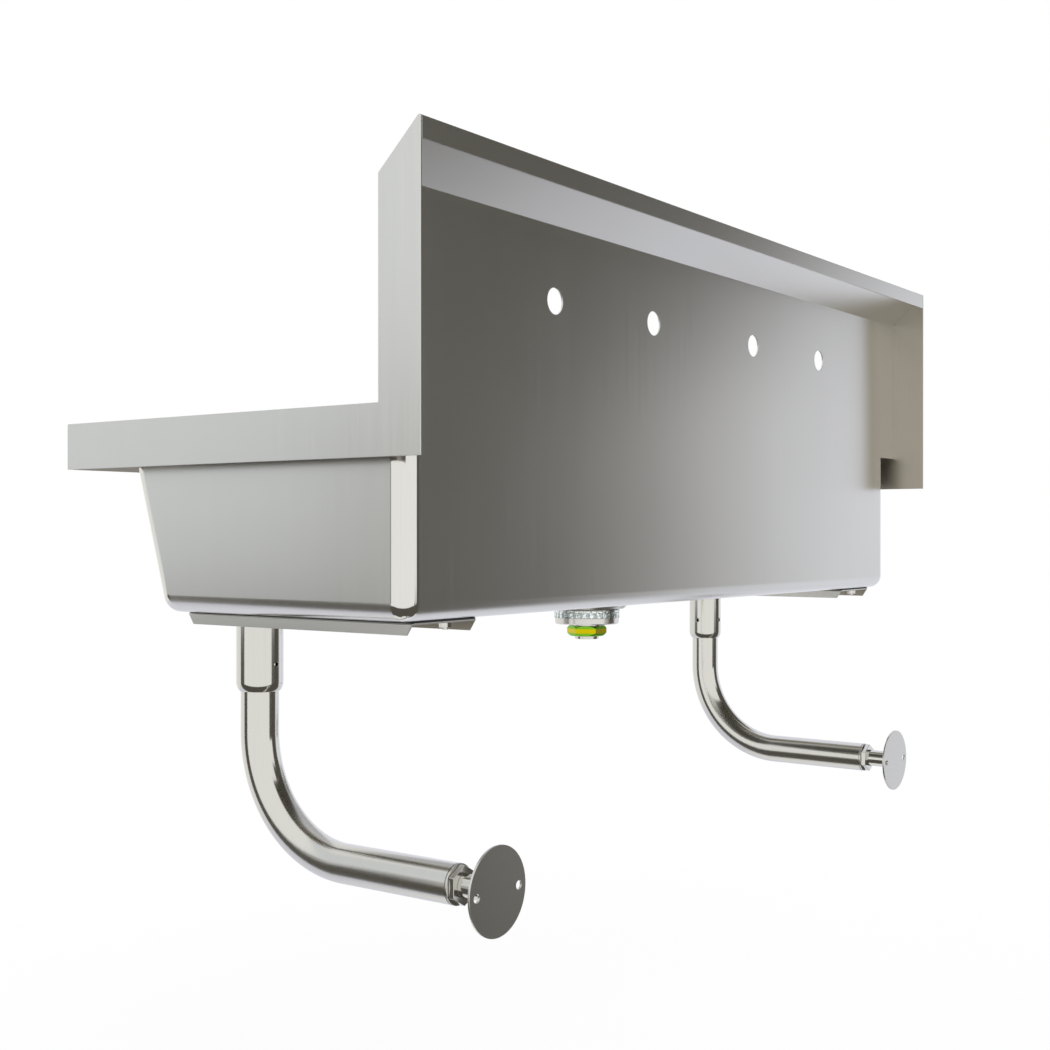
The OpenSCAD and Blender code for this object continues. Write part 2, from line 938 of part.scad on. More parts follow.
strainer_basket();
basket_knob();
basket_stopper();
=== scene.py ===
import json
import math

import bmesh
import bpy
from mathutils import Matrix, Vector

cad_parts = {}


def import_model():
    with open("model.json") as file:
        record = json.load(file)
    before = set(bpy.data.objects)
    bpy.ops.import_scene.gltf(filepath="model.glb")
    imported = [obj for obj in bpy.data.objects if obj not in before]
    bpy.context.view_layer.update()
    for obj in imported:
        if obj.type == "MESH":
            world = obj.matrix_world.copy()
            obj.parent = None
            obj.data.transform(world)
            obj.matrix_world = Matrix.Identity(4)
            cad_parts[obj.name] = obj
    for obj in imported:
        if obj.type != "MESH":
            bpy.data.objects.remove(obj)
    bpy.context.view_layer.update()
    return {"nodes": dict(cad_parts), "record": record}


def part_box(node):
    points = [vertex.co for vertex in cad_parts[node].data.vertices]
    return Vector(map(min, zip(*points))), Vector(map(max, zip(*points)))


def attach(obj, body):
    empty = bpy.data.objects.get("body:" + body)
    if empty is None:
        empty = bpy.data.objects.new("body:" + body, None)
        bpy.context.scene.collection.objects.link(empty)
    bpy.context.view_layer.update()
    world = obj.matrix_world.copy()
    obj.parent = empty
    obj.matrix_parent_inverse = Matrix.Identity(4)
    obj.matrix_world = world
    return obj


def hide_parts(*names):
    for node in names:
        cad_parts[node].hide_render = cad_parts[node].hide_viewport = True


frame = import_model()
bodyOf = {node: body for body, nodes in frame["record"]["behaviour"]["bodies"].items() for node in nodes}
mm = 0.001
degree = 180 / math.pi  # degrees in a radian
noiseMiddle = 0.5  # the value that a noise swings about
plainWhite = (1, 1, 1, 1)


# A socket that sums can be written on, in a material or in a Geometry Nodes tree
class Wire:
    def __init__(self, board, socket):
        self.board = board
        self.socket = socket

    def __add__(self, other):
        return self.board.maths("ADD", self, other)

    def __radd__(self, other):
        return self.board.maths("ADD", other, self)

    def __sub__(self, other):
        return self.board.maths("SUBTRACT", self, other)

    def __rsub__(self, other):
        return self.board.maths("SUBTRACT", other, self)

    def __mul__(self, other):
        return self.board.maths("MULTIPLY", self, other)

    def __rmul__(self, other):
        return self.board.maths("MULTIPLY", other, self)

    def __truediv__(self, other):
        return self.board.maths("DIVIDE", self, other)

    def __rtruediv__(self, other):
        return self.board.maths("DIVIDE", other, self)

    def __pow__(self, other):
        return self.board.maths("POWER", self, other)

    def __rpow__(self, other):
        return self.board.maths("POWER", other, self)

    def __gt__(self, other):
        return self.board.maths("GREATER_THAN", self, other)

    def __lt__(self, other):
        return self.board.maths("LESS_THAN", self, other)


# A node tree being filled in: any node comes from add()
class Board:
    def __init__(self, tree):
        self.tree = tree

    def add(self, kind, settings=None, inputs=None, out=0):
        node = self.tree.nodes.new(kind)
        for key, value in (settings or {}).items():
            setattr(node, key, value)
        for key, value in (inputs or {}).items():
            if isinstance(value, Wire):
                self.tree.links.new(value.socket, node.inputs[key])
            else:
                node.inputs[key].default_value = value
        return Wire(self, node.outputs[out]) if len(node.outputs) else None

    def maths(self, operation, first, second=0.0):
        return self.add("ShaderNodeMath", {"operation": operation}, {0: first, 1: second})

    def objectPlace(self):
        return self.add("ShaderNodeTexCoord", None, None, "Object")

    # Every output of the node that a wire comes from, by name
    def outputs(self, wire):
        return {socket.name: Wire(self, socket) for socket in wire.socket.node.outputs if socket.name}

    def xyz(self, wire):
        split = self.add("ShaderNodeSeparateXYZ", None, {0: wire})
        return self.outputs(split).values()

    # Inputs 6 and 7 of a Mix node are its colours, and output 2 is the mixed one
    def mixColour(self, share, first, second, blend="MIX"):
        settings = {"data_type": "RGBA", "blend_type": blend}
        return self.add("ShaderNodeMix", settings, {0: share, 6: first, 7: second}, 2)


def newMaterial(name):
    material = bpy.data.materials.new(name)
    material.use_nodes = True
    material.node_tree.nodes.clear()
    return material, Board(material.node_tree)


def closeMaterial(board, surface):
    board.add("ShaderNodeOutputMaterial", None, {"Surface": surface})


# Closes a material with one shiny or matt surface, whose grain stands out by a bump
def coat(board, colour, rough, height, look):
    bump = board.add("ShaderNodeBump", None,
                     {"Strength": look["bump"], "Distance": look["depth"], "Height": height})
    surface = board.add("ShaderNodeBsdfPrincipled", None,
                        {"Base Color": colour, "Metallic": look["metal"], "Roughness": rough, "Normal": bump})
    closeMaterial(board, surface)


# counts are how many waves a metre holds along X, Y and Z
def noise(board, place, counts, detail=2.0, rough=0.5):
    stretched = board.add("ShaderNodeMapping", None, {"Vector": place, "Scale": counts})
    return board.add("ShaderNodeTexNoise", None,
                     {"Vector": stretched, "Scale": 1.0, "Detail": detail, "Roughness": rough})


# 0 below a limit and 1 past it, with a soft step between
def past(board, wire, limit, blend):
    return board.add("ShaderNodeMapRange", {"interpolation_type": "SMOOTHSTEP"},
                     {0: wire, 1: limit - blend / 2, 2: limit + blend / 2})


# 1 below a limit and 0 past it
def before(board, wire, limit, blend):
    return 1 - past(board, wire, limit, blend)


# Stainless finish: fine lines one way, wider streaks the same way, and slow clouding.
# zones gives masks, and the tint or roughness that the finish has there
def steel(name, look, zones=None):
    material, board = newMaterial(name)
    place = board.objectPlace()
    lines = noise(board, place, look["lines"], detail=3.0)
    streaks = noise(board, place, look["streaks"])
    clouds = noise(board, place, look["clouds"], detail=1.0)
    tint = look["tint"] + (1,)
    rough = look["rough"]
    for mask, change in (zones(board, place) if zones else []):
        if "tint" in change:
            tint = board.mixColour(mask, tint, change["tint"] + (1,))
        rough = rough + mask * (change["rough"] - look["rough"])
    shade = 1 + look["lineTone"] * (lines - noiseMiddle) + look["streakTone"] * (streaks - noiseMiddle)
    grey = board.add("ShaderNodeCombineColor", None, {0: shade, 1: shade, 2: shade})
    colour = board.mixColour(1.0, tint, grey, "MULTIPLY")
    rough = rough + look["roughLines"] * (lines - noiseMiddle) + look["roughClouds"] * (clouds - noiseMiddle)
    coat(board, colour, rough, lines + look["streakDepth"] * streaks, look)
    return material


satin = {
    "tint": (0.72, 0.715, 0.69), "rough": 0.245, "roughLines": 0.04, "roughClouds": 0.03,
    "lines": (420, 420, 6), "streaks": (110, 110, 2), "clouds": (6, 6, 6),
    "lineTone": 0.06, "streakTone": 0.03,
    "metal": 1.0, "bump": 0.02, "depth": 0.1 * mm, "streakDepth": 0.5,
}
polished = dict(satin, tint=(0.67, 0.662, 0.632), rough=0.12, roughLines=0.03, lineTone=0.05)
lengthwise = {"lines": (6, 420, 420), "streaks": (2, 110, 110)}
crosswise = {"lines": (420, 6, 420), "streaks": (110, 2, 110)}
turned = {"lines": (500, 500, 500), "streaks": (100, 100, 100)}
steels = {
    "basin_sheet": satin,
    "deck_sheet": dict(satin, **lengthwise),
    "splash_sheet": satin,
    "panel_sheet": satin,
    "channel_sheet": dict(satin, rough=0.31, **crosswise),
    "tube_steel": polished,
    "turned_steel": dict(polished, **turned),
    "disc_steel": dict(satin, rough=0.283, roughLines=0.01, roughClouds=0.01, **lengthwise),
    "fastener_steel": dict(polished, rough=0.14, **turned),
    "strainer_steel": dict(polished, rough=0.16),
    "washer_steel": dict(polished, rough=0.24, **turned),
    "tail_brass": dict(polished, rough=0.1),
}


# The bowl's upright corners are ground and polished after welding
groundCorner = {"rough": 0.09, "radius": 19 * mm, "frontLean": math.radians(16.9), "blend": 0.8 * mm}


def basinZones(board, place):
    low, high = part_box("basin")
    x, y, z = board.xyz(place)
    radius, blend, lean = (groundCorner[key] for key in ("radius", "blend", "frontLean"))
    atEnd = past(board, board.maths("ABSOLUTE", x), high.x - radius, blend)
    atBack = past(board, y, high.y - radius, blend)
    frontAxis = low.y + radius / math.cos(lean) + (high.z - z) * math.tan(lean)
    atFront = past(board, frontAxis - y, 0, blend)
    return [(atEnd * (atBack + atFront), groundCorner)]


# The sheets' hidden sides keep the mill's duller skin, and their colour is painted darker and browner there
# as shade
millSkinAndShade = {"tint": (0.47, 0.44, 0.38), "rough": 0.34, "sheet": 1.9 * mm}


# Painted shade: the panels' inner sides are darkened
def panelZones(board, place):
    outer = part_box("right_end_panel")[1].x
    x, _, _ = board.xyz(place)
    return [(board.maths("ABSOLUTE", x) < outer - millSkinAndShade["sheet"] / 2, millSkinAndShade)]


# Painted shade: the deck's underside and hidden faces are darkened
def deckZones(board, place):
    low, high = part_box("deck")
    _, y, z = board.xyz(place)
    skin = millSkinAndShade["sheet"] / 2
    return [((z < high.z - skin) * (y > low.y + skin), millSkinAndShade)]


# Painted shade: the channels' inner faces are darkened
def channelZones(board, place):
    low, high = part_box("right_channel")
    x, _, z = board.xyz(place)
    fromMiddle = board.maths("ABSOLUTE", board.maths("ABSOLUTE", x) - (low.x + high.x) / 2)
    skin = millSkinAndShade["sheet"] / 2
    return [((fromMiddle < (high.x - low.x) / 2 - skin) * (z < high.z - skin), millSkinAndShade)]


# The legs were drawn bright, and the level run is scuffed duller
scuffedRun = {"rough": 0.2, "above": 20 * mm, "blend": 110 * mm}


def tubeZones(board, place):
    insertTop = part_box("left_leg_insert")[1].z
    _, _, z = board.xyz(place)
    return [(before(board, z, insertTop + scuffedRun["above"], scuffedRun["blend"]), scuffedRun)]


# Cast zinc: bright, a little blue, with a crinkled skin, painted shade darkening its notches, and smooth on
# its skirt
castZinc = {
    "band": (0.92, 0.98, 0.99, 1), "notch": (0.5, 0.55, 0.55, 1), "pit": (0.3, 0.34, 0.34, 1),
    "skirt": (0.7, 0.68, 0.66, 1), "rough": 0.2, "roughGrain": 0.12,
    "grain": (480, 480, 620), "detail": 3.0, "detailRough": 0.6, "pitted": (0.4, 0.52),
    "metal": 1.0, "bump": 0.4, "depth": 0.3 * mm,
}
locknut = {
    "radius": 43.4 * mm, "bore": 39.95 * mm, "step": 1.2 * mm, "topBevel": 0.4 * mm,
    "skirt": 8.2 * mm, "band": 7.5 * mm, "bandGap": 0.01 * mm, "faceFromShare": 0.99,
    "notches": 30, "notchWidth": 4.2 * mm, "notchDepth": 1.2 * mm,
    "crinkle": 0.35 * mm, "grain": 420.0, "detail": 2.0, "steps": 900, "rows": 14,
}


def zinc(name):
    look = castZinc
    low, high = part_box("strainer_locknut")
    middle = (low + high) / 2
    material, board = newMaterial(name)
    place = board.objectPlace()
    x, y, z = board.xyz(place)
    fromAxis = board.maths("SQRT", (x - middle.x) ** 2 + (y - middle.y) ** 2)
    grain = noise(board, place, look["grain"], look["detail"], look["detailRough"])
    bandFoot = low.z + locknut["skirt"]
    # Painted shade: the notches' floors are darkened
    inNotch = before(board, fromAxis, locknut["radius"] - locknut["notchDepth"] / 2, locknut["notchDepth"])
    pitFrom, pitTo = look["pitted"]
    clear = past(board, grain, (pitFrom + pitTo) / 2, pitTo - pitFrom)
    colour = board.mixColour(inNotch * (z > bandFoot), look["band"], look["notch"])
    colour = board.mixColour(clear, look["pit"], colour)
    colour = board.mixColour(z < bandFoot, colour, look["skirt"])
    rough = look["rough"] + look["roughGrain"] * (grain - noiseMiddle)
    coat(board, colour, rough, grain * (z > bandFoot), look)
    return material


# Yellow plated nut whose two ends are green
plating = {
    "face": (0.66, 0.54, 0.0, 1), "bevel": (0.2, 0.5, 0.02, 1), "yellowShare": 0.42, "blend": 0.6 * mm,
    "rough": 0.22, "roughGrain": 0.1, "grain": (500, 500, 500), "metal": 0.9, "bump": 0.1, "depth": 0.1 * mm,
}


def yellowPlating(name):
    look = plating
    low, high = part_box("coupling_nut")
    material, board = newMaterial(name)
    place = board.objectPlace()
    _, _, z = board.xyz(place)
    fromMiddle = board.maths("ABSOLUTE", z - (low.z + high.z) / 2)
    atEnd = past(board, fromMiddle, look["yellowShare"] * (high.z - low.z) / 2, look["blend"])
    grain = noise(board, place, look["grain"])
    colour = board.mixColour(atEnd, look["face"], look["bevel"])
    coat(board, colour, look["rough"] + look["roughGrain"] * (grain - noiseMiddle), grain, look)
    return material


# Rubber or plastic: a plain body with a fine moulded skin
rubber = {
    "dark": (0.012, 0.012, 0.012, 1), "light": (0.03, 0.03, 0.03, 1), "rough": 0.6, "roughGrain": 0.1,
    "grain": (600, 600, 600), "metal": 0.0, "bump": 0.2, "depth": 0.1 * mm,
}
whitePlastic = dict(rubber, dark=(0.8, 0.8, 0.76, 1), light=(0.88, 0.88, 0.85, 1), rough=0.45,
                    grain=(300, 300, 300))


def moulded(name, look):
    material, board = newMaterial(name)
    grain = noise(board, board.objectPlace(), look["grain"])
    colour = board.mixColour(grain, look["dark"], look["light"])
    coat(board, colour, look["rough"] + look["roughGrain"] * (grain - noiseMiddle), grain, look)
    return material


zonesOf = {"basin_sheet": basinZones, "panel_sheet": panelZones, "deck_sheet": deckZones,
           "channel_sheet": channelZones, "tube_steel": tubeZones}
materials = {slot: steel(slot + "_finish", look, zonesOf.get(slot)) for slot, look in steels.items()}
materials["zinc_alloy"] = zinc("zinc_alloy_finish")
materials["yellow_brass"] = yellowPlating("yellow_brass_finish")
materials["rubber"] = moulded("rubber_finish", rubber)
materials["white_plastic"] = moulded("white_plastic_finish", whitePlastic)
print("materials made:", len(materials))

sides = ("left_", "right_")
slotNodes = {
    "basin_sheet": ["basin"],
    "deck_sheet": ["deck"],
    "splash_sheet": ["backsplash"],
    "panel_sheet": [side + "end_panel" for side in sides],
    "channel_sheet": [side + "channel" for side in sides],
    "tube_steel": [side + name for side in sides for name in ("leg_tube", "collar")],
    "turned_steel": [side + name for side in sides for name in ("foot_shank", "leg_insert")],
    "disc_steel": [side + "wall_disc" for side in sides],
    "fastener_steel": [side + name for side in sides
                       for name in ("channel_studs", "channel_nuts", "set_screws", "adjusting_nut")],
    "strainer_steel": ["strainer_body", "strainer_basket"],
    "washer_steel": ["slip_washer"],
    "zinc_alloy": ["strainer_locknut"],
    "yellow_brass": ["coupling_nut"],
    "tail_brass": ["tailpiece"],
    "white_plastic": ["tailpiece_washer"],
    "rubber": ["strainer_gasket", "basket_stopper", "basket_knob"] + [side + "channel_pad" for side in sides],
}
slotOf = {node: slot for slot, nodes in slotNodes.items() for node in nodes}


def newObject(name, data):
    made = bpy.data.objects.new(name, data)
    bpy.context.scene.collection.objects.link(made)
    return made


# Fills a mesh with what an edit makes of it, or of another mesh
def edited(mesh, edit, source=None):
    work = bmesh.new()
    work.from_mesh(source or mesh)
    edit(work)
    work.to_mesh(mesh)
    work.free()
    return mesh


# Turns a piece's modifiers into its mesh
def plainMesh(piece):
    view = bpy.context.evaluated_depsgraph_get()
    finished = bpy.data.meshes.new_from_object(piece.evaluated_get(view))
    piece.modifiers.clear()
    piece.data = finished
    return finished


# Puts a finished piece on its body in place of a node
def settle(piece, node):
    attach(piece, bodyOf[node])
    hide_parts(node)


rounding = {
    "segments": 2, "sharpPast": math.radians(32),
    "merge": 0.001 * mm, "flatWithin": math.radians(0.2), "seamWithin": 0.05 * mm,
    "grownSharpPast": math.radians(35),  # on the pieces that grow from a path or a turned blank
}
edgeWidths = {
    "basin": 0.3 * mm, "deck": 0.35 * mm, "backsplash": 0.35 * mm, "end_panel": 0.45 * mm,
    "channel": 0.3 * mm, "channel_nuts": 0.2 * mm, "channel_studs": 0.2 * mm, "channel_pad": 0.2 * mm,
    "collar": 0.3 * mm, "set_screws": 0.7 * mm, "leg_insert": 0.45 * mm,
    "adjusting_nut": 0.5 * mm, "foot_shank": 0.3 * mm, "wall_disc": 0.35 * mm,
    "strainer_body": 0.25 * mm, "strainer_gasket": 0.2 * mm, "slip_washer": 0.15 * mm,
    "coupling_nut": 0.3 * mm, "tailpiece": 0.2 * mm, "tailpiece_washer": 0.2 * mm,
    "strainer_basket": 0.15 * mm, "basket_knob": 0.3 * mm, "basket_stopper": 0.3 * mm,
}
# A welded seam, flush and ground flat, lies at one height and stays square
weldHeights = {
    "backsplash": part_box("backsplash")[0].z,
    "basin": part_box("basin")[1].z,
    "deck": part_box("basin")[1].z,
}


# Marks the edges that the rounding takes, and leaves a flush seam out
def weighEdges(work, seam=None):
    weights = work.edges.layers.float.new("bevel_weight_edge")
    for line in work.edges:
        if len(line.link_faces) == 2 and line.calc_face_angle() > rounding["sharpPast"]:
            flush = seam is not None and all(abs(end.co.z - seam) < rounding["seamWithin"]
                                             for end in line.verts)
            line[weights] = 0 if flush else 1
            line.smooth = not flush


def finish(mesh, node, edge):
    for polygon in mesh.polygons:
        polygon.use_smooth = True
    piece = newObject(node + "_finished", mesh)
    bevel = piece.modifiers.new("roundEdges", "BEVEL")
    bevel.width = edge
    bevel.segments = rounding["segments"]
    bevel.limit_method = "WEIGHT"
    bevel.use_clamp_overlap = False
    shading = piece.modifiers.new("flatFaces", "WEIGHTED_NORMAL")
    shading.mode = "FACE_AREA"
    shading.keep_sharp = True
    finished = plainMesh(piece)
    finished.materials.clear()
    finished.materials.append(materials[slotOf[node]])
    settle(piece, node)


# A copy of a CAD node with its loose triangles joined and its sharp edges rounded
def dress(node, edge, seam=None):
    def joinUp(work):
        bmesh.ops.remove_doubles(work, verts=work.verts, dist=rounding["merge"])
        bmesh.ops.dissolve_limit(work, angle_limit=rounding["flatWithin"], verts=work.verts, edges=work.edges)
        weighEdges(work, seam)

    mesh = bpy.data.meshes.new(node + "_finished")
    finish(edited(mesh, joinUp, frame["nodes"][node].data), node, edge)


# A Geometry Nodes tree with one named input for each size
def newTree(name, sizes):
    tree = bpy.data.node_groups.new(name, "GeometryNodeTree")
    for label, kind in sizes.items():
        tree.interface.new_socket(label, in_out="INPUT", socket_type="NodeSocket" + kind)
    tree.interface.new_socket("Geometry", in_out="OUTPUT", socket_type="NodeSocketGeometry")
    board = Board(tree)
    return tree, board, board.outputs(board.add("NodeGroupInput"))


def closeTree(board, shape, material):
    smooth = board.add("GeometryNodeSetShadeSmooth", None, {"Geometry": shape})
    whole = board.add("GeometryNodeRealizeInstances", None, {"Geometry": smooth})
    dressed = board.add("GeometryNodeSetMaterial", None, {"Geometry": whole, "Material": material})
    board.add("NodeGroupOutput", None, {"Geometry": dressed})


# Runs a tree on a mesh, gives the result a wall if one is asked for, and puts it in place of a node
def grow(node, mesh, tree, sizes, wall=0.0):
    piece = newObject(node + "_finished", mesh)
    values = dict(sizes, Material=materials[slotOf[node]])
    modifier = piece.modifiers.new(tree.name, "NODES")
    modifier.node_group = tree
    for socket in tree.interface.items_tree:
        if socket.in_out == "INPUT" and socket.name in values:
            modifier[socket.identifier] = values[socket.name]
    if wall:
        thickness = piece.modifiers.new("tubeWall", "SOLIDIFY")
        thickness.thickness = wall
        thickness.offset = 0
    plainMesh(piece).set_sharp_from_angle(angle=rounding["grownSharpPast"])
    settle(piece, node)


legs = {"wall": 1.65 * mm, "bendRadius": 127 * mm, "bendSteps": 64, "around": 128, "endGap": 0.8 * mm}


def makeLegTree():
    tree, board, given = newTree("bentTube", {
        "Geometry": "Geometry", "Tube Radius": "Float", "Bend Radius": "Float",
        "Bend Steps": "Int", "Around": "Int", "Material": "Material"})
    line = board.add("GeometryNodeMeshToCurve", None, {"Mesh": given["Geometry"]})
    bent = board.add("GeometryNodeFilletCurve", {"mode": "POLY"},
                     {"Curve": line, "Count": given["Bend Steps"], "Radius": given["Bend Radius"]})
    rim = board.add("GeometryNodeCurvePrimitiveCircle", {"mode": "RADIUS"},
                    {"Resolution": given["Around"], "Radius": given["Tube Radius"]})
    tube = board.add("GeometryNodeCurveToMesh", None, {"Curve": bent, "Profile Curve": rim})
    closeTree(board, tube, given["Material"])
    return tree


def makeLeg(node, tree):
    low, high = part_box(node)
    outer = (high.x - low.x) / 2
    middle = (high.x + low.x) / 2
    path = bpy.data.meshes.new(node + "_path")
    path.from_pydata([(middle, low.y + outer, high.z), (middle, low.y + outer, low.z + outer),
                      (middle, high.y - legs["endGap"], low.z + outer)], [(0, 1), (1, 2)], [])
    grow(node, path, tree, {"Tube Radius": outer - legs["wall"] / 2, "Bend Radius": legs["bendRadius"],
                            "Bend Steps": legs["bendSteps"], "Around": legs["around"]}, legs["wall"])


# Turns a closed outline of (radius, height) pairs about an upright axis
def turnedMesh(name, outline, axis, steps):
    points, faces, count = [], [], len(outline)
    for step in range(steps):
        turn = 2 * math.pi * step / steps
        points += [(axis.x + radius * math.cos(turn), axis.y + radius * math.sin(turn), height)
                   for radius, height in outline]
    for step in range(steps):
        here, there = step * count, (step + 1) % steps * count
        for index in range(count):
            after = (index + 1) % count
            faces.append((here + index, there + index, there + after, here + after))
    mesh = bpy.data.meshes.new(name)
    mesh.from_pydata(points, [], faces)
    return edited(mesh, lambda work: bmesh.ops.recalc_face_normals(work, faces=work.faces))


collars = {"bore": 21.05 * mm, "lipHeight": 9.7 * mm, "lipInset": 3.5 * mm, "lipSteps": 16, "steps": 180,
           "screwDrop": 53.5 * mm, "screwHole": 6.45 * mm, "holeSteps": 40, "rowsByHole": 6 * mm}


# A lip that curves in at the foot, with a row of points below and above the screw holes
def collarOutline(low, high, radius, screwHeight):
    bore, inset, height, steps = (collars[key] for key in ("bore", "lipInset", "lipHeight", "lipSteps"))
    curve = (height ** 2 + inset ** 2) / (2 * inset)
    sweep = math.asin(height / curve)
    turns = [sweep * (step / steps - 1) for step in range(steps + 1)]
    lip = [(radius - curve + curve * math.cos(turn), low.z + height + curve * math.sin(turn))
           for turn in turns]
    rows = [(radius, screwHeight + way * collars["rowsByHole"]) for way in (-1, 1)]
    return [(bore, low.z)] + lip + rows + [(radius, high.z), (bore, high.z)]


# A cutter for one screw hole, from the collar's axis outwards
def makeDrill(axis, facing, radius):
    half = collars["screwHole"] / 2
    aim = facing.to_track_quat("Z", "Y").to_matrix().to_4x4()
    place = Matrix.Translation(axis + facing * radius) @ aim

    def cutter(work):
        bmesh.ops.create_cone(work, cap_ends=True, segments=collars["holeSteps"], radius1=half, radius2=half,
                              depth=2 * radius, matrix=place)

    return newObject("drill", edited(bpy.data.meshes.new("drill"), cutter))


# One screw hole faces the wall, and the other the middle of the sink
def makeCollar(side):
    node = side + "collar"
    low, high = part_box(node)
    middle = (low + high) / 2
    radius = (high.x - low.x) / 2
    screwHeight = high.z - collars["screwDrop"]
    outline = collarOutline(low, high, radius, screwHeight)
    blank = newObject(node + "_blank", turnedMesh(node + "_blank", outline, middle, collars["steps"]))
    drills = []
    for facing in (Vector((0, 1, 0)), Vector((1 if side == "left_" else -1, 0, 0))):
        drills.append(makeDrill(Vector((middle.x, middle.y, screwHeight)), facing, radius))
        hole = blank.modifiers.new("screwHole", "BOOLEAN")
        hole.object = drills[-1]
        hole.solver = "EXACT"
    drilled = plainMesh(blank)
    for spare in drills + [blank]:
        bpy.data.objects.remove(spare)
    finish(edited(drilled, weighEdges), node, edgeWidths["collar"])


def makeLocknutTree():
    tree, board, given = newTree("notchedBand", {
        "Geometry": "Geometry", "Axis X": "Float", "Axis Y": "Float", "Band Foot": "Float",
        "Band Top": "Float", "Radius": "Float", "Notches": "Int", "Notch Width": "Float",
        "Notch Depth": "Float", "Crinkle": "Float", "Grain": "Float", "Material": "Material"})
    place = board.add("GeometryNodeInputPosition")
    x, y, z = board.xyz(place)
    across, along = x - given["Axis X"], y - given["Axis Y"]
    fromAxis = board.maths("SQRT", across ** 2 + along ** 2)
    turn = board.maths("ARCTAN2", along, across) / (2 * math.pi) * given["Notches"]
    fromNotch = board.maths("ABSOLUTE", board.maths("FRACT", turn + 0.5) - 0.5)  # in pitches
    pitch = given["Radius"] * (2 * math.pi) / given["Notches"]
    inNotch = fromNotch * pitch < given["Notch Width"] / 2
    onFace = fromAxis > given["Radius"] * locknut["faceFromShare"]
    onBand = (z > given["Band Foot"]) * (z < given["Band Top"]) * onFace
    grain = board.add("ShaderNodeTexNoise", None,
                      {"Vector": place, "Scale": given["Grain"], "Detail": locknut["detail"]})
    inward = onBand * (inNotch * given["Notch Depth"] + (1 - inNotch) * given["Crinkle"] * grain)
    shift = board.add("ShaderNodeCombineXYZ", None, {0: -1 * inward * across / fromAxis,
                                                     1: -1 * inward * along / fromAxis})
    moved = board.add("GeometryNodeSetPosition", None, {"Geometry": given["Geometry"], "Offset": shift})
    closeTree(board, moved, given["Material"])
    return tree


# The blank has close rows over its band, which the tree pushes in
def makeLocknut(node, tree):
    low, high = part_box(node)
    middle = (low + high) / 2
    bore, radius, step, bevel, band, rows = (locknut[key] for key in
                                             ("bore", "radius", "step", "topBevel", "band", "rows"))
    skirtTop = low.z + locknut["skirt"]
    bandTop = skirtTop + band
    outline = [(bore, low.z), (radius - 2 * step, low.z), (radius - step, low.z + step),
               (radius - step, skirtTop), (radius, skirtTop)]
    outline += [(radius, skirtTop + band * (row + 0.5) / rows) for row in range(rows)]
    outline += [(radius, bandTop), (radius, high.z - bevel), (radius - bevel, high.z), (bore, high.z)]
    blank = turnedMesh(node + "_blank", outline, middle, locknut["steps"])
    grow(node, blank, tree, {"Axis X": middle.x, "Axis Y": middle.y, "Band Foot": skirtTop,
                             "Band Top": bandTop - locknut["bandGap"], "Radius": radius,
                             "Notches": locknut["notches"], "Notch Width": locknut["notchWidth"],
                             "Notch Depth": locknut["notchDepth"], "Crinkle": locknut["crinkle"],
                             "Grain": locknut["grain"]})


legTree = makeLegTree()
for side in sides:
    makeLeg(side + "leg_tube", legTree)
    makeCollar(side)
makeLocknut("strainer_locknut", makeLocknutTree())
madeAnew = ["strainer_locknut"] + [side + name for side in sides for name in ("leg_tube", "collar")]
for node in frame["nodes"]:
    if node not in madeAnew:
        kind = node.removeprefix("left_").removeprefix("right_")
        dress(node, edgeWidths[kind], weldHeights.get(node))
print("nodes dressed:", len(frame["nodes"]))


photoView = {
    "imageSize": 1050,  # pixels each way
    "focal": 1443.504,  # pixels
    "lensBelowMiddle": 12.279,  # pixels
    "place": (1.5939, 0.83519, -0.36335),
    "yaw": 36.181, "pitch": -0.182,  # degrees
    "filmWidth": 36,  # millimetres
    "seesTo": 100,
}


def makeCamera():
    lens = bpy.data.cameras.new("photoCamera")
    lens.sensor_width = photoView["filmWidth"]
    lens.lens = photoView["focal"] / photoView["imageSize"] * lens.sensor_width
    lens.shift_y = photoView["lensBelowMiddle"] / photoView["imageSize"]
    lens.clip_end = photoView["seesTo"]
    camera = newObject("photoCamera", lens)
    yaw, pitch = math.radians(photoView["yaw"]), math.radians(photoView["pitch"])
    ahead = Vector((-math.cos(yaw) * math.cos(pitch), -math.sin(yaw) * math.cos(pitch), math.sin(pitch)))
    camera.location = photoView["place"]
    camera.rotation_euler = ahead.to_track_quat("-Z", "Y").to_euler()
    bpy.context.scene.camera = camera


studio = {
    "floorBelow": 0.914,  # from the deck's top
    "floorSize": 14.0,
    "floorTint": (0.86, 0.86, 0.87, 1),
    "floorGlow": 0.9,  # share of plain white that the camera sees under the sink
    "shadowReach": 1.6,  # how far out the floor is halfway to plain white
    "fill": 0.85,  # what the surroundings give to plain surfaces
    "lampSize": 2.0,
    "lamps": {"keyLamp": ((2.0, 2.2, 2.4), 60), "fillLamp": ((-2.4, -2.6, 1.8), 30)},  # place and power
}


def makeWorld():
    world = bpy.data.worlds.new("whiteStudio")
    world.use_nodes = True
    world.node_tree.nodes.clear()
    board = Board(world.node_tree)
    ray = "ShaderNodeLightPath"
    seen = board.add(ray, None, None, "Is Camera Ray") + board.add(ray, None, None, "Is Glossy Ray")
    seen = seen + board.add(ray, None, None, "Is Transmission Ray")
    fill = board.add("ShaderNodeBackground", None, {"Color": plainWhite, "Strength": studio["fill"]})
    white = board.add("ShaderNodeBackground", None, {"Color": plainWhite, "Strength": 1.0})
    mixed = board.add("ShaderNodeMixShader", None, {0: seen, 1: fill, 2: white})
    board.add("ShaderNodeOutputWorld", None, {"Surface": mixed})
    bpy.context.scene.world = world


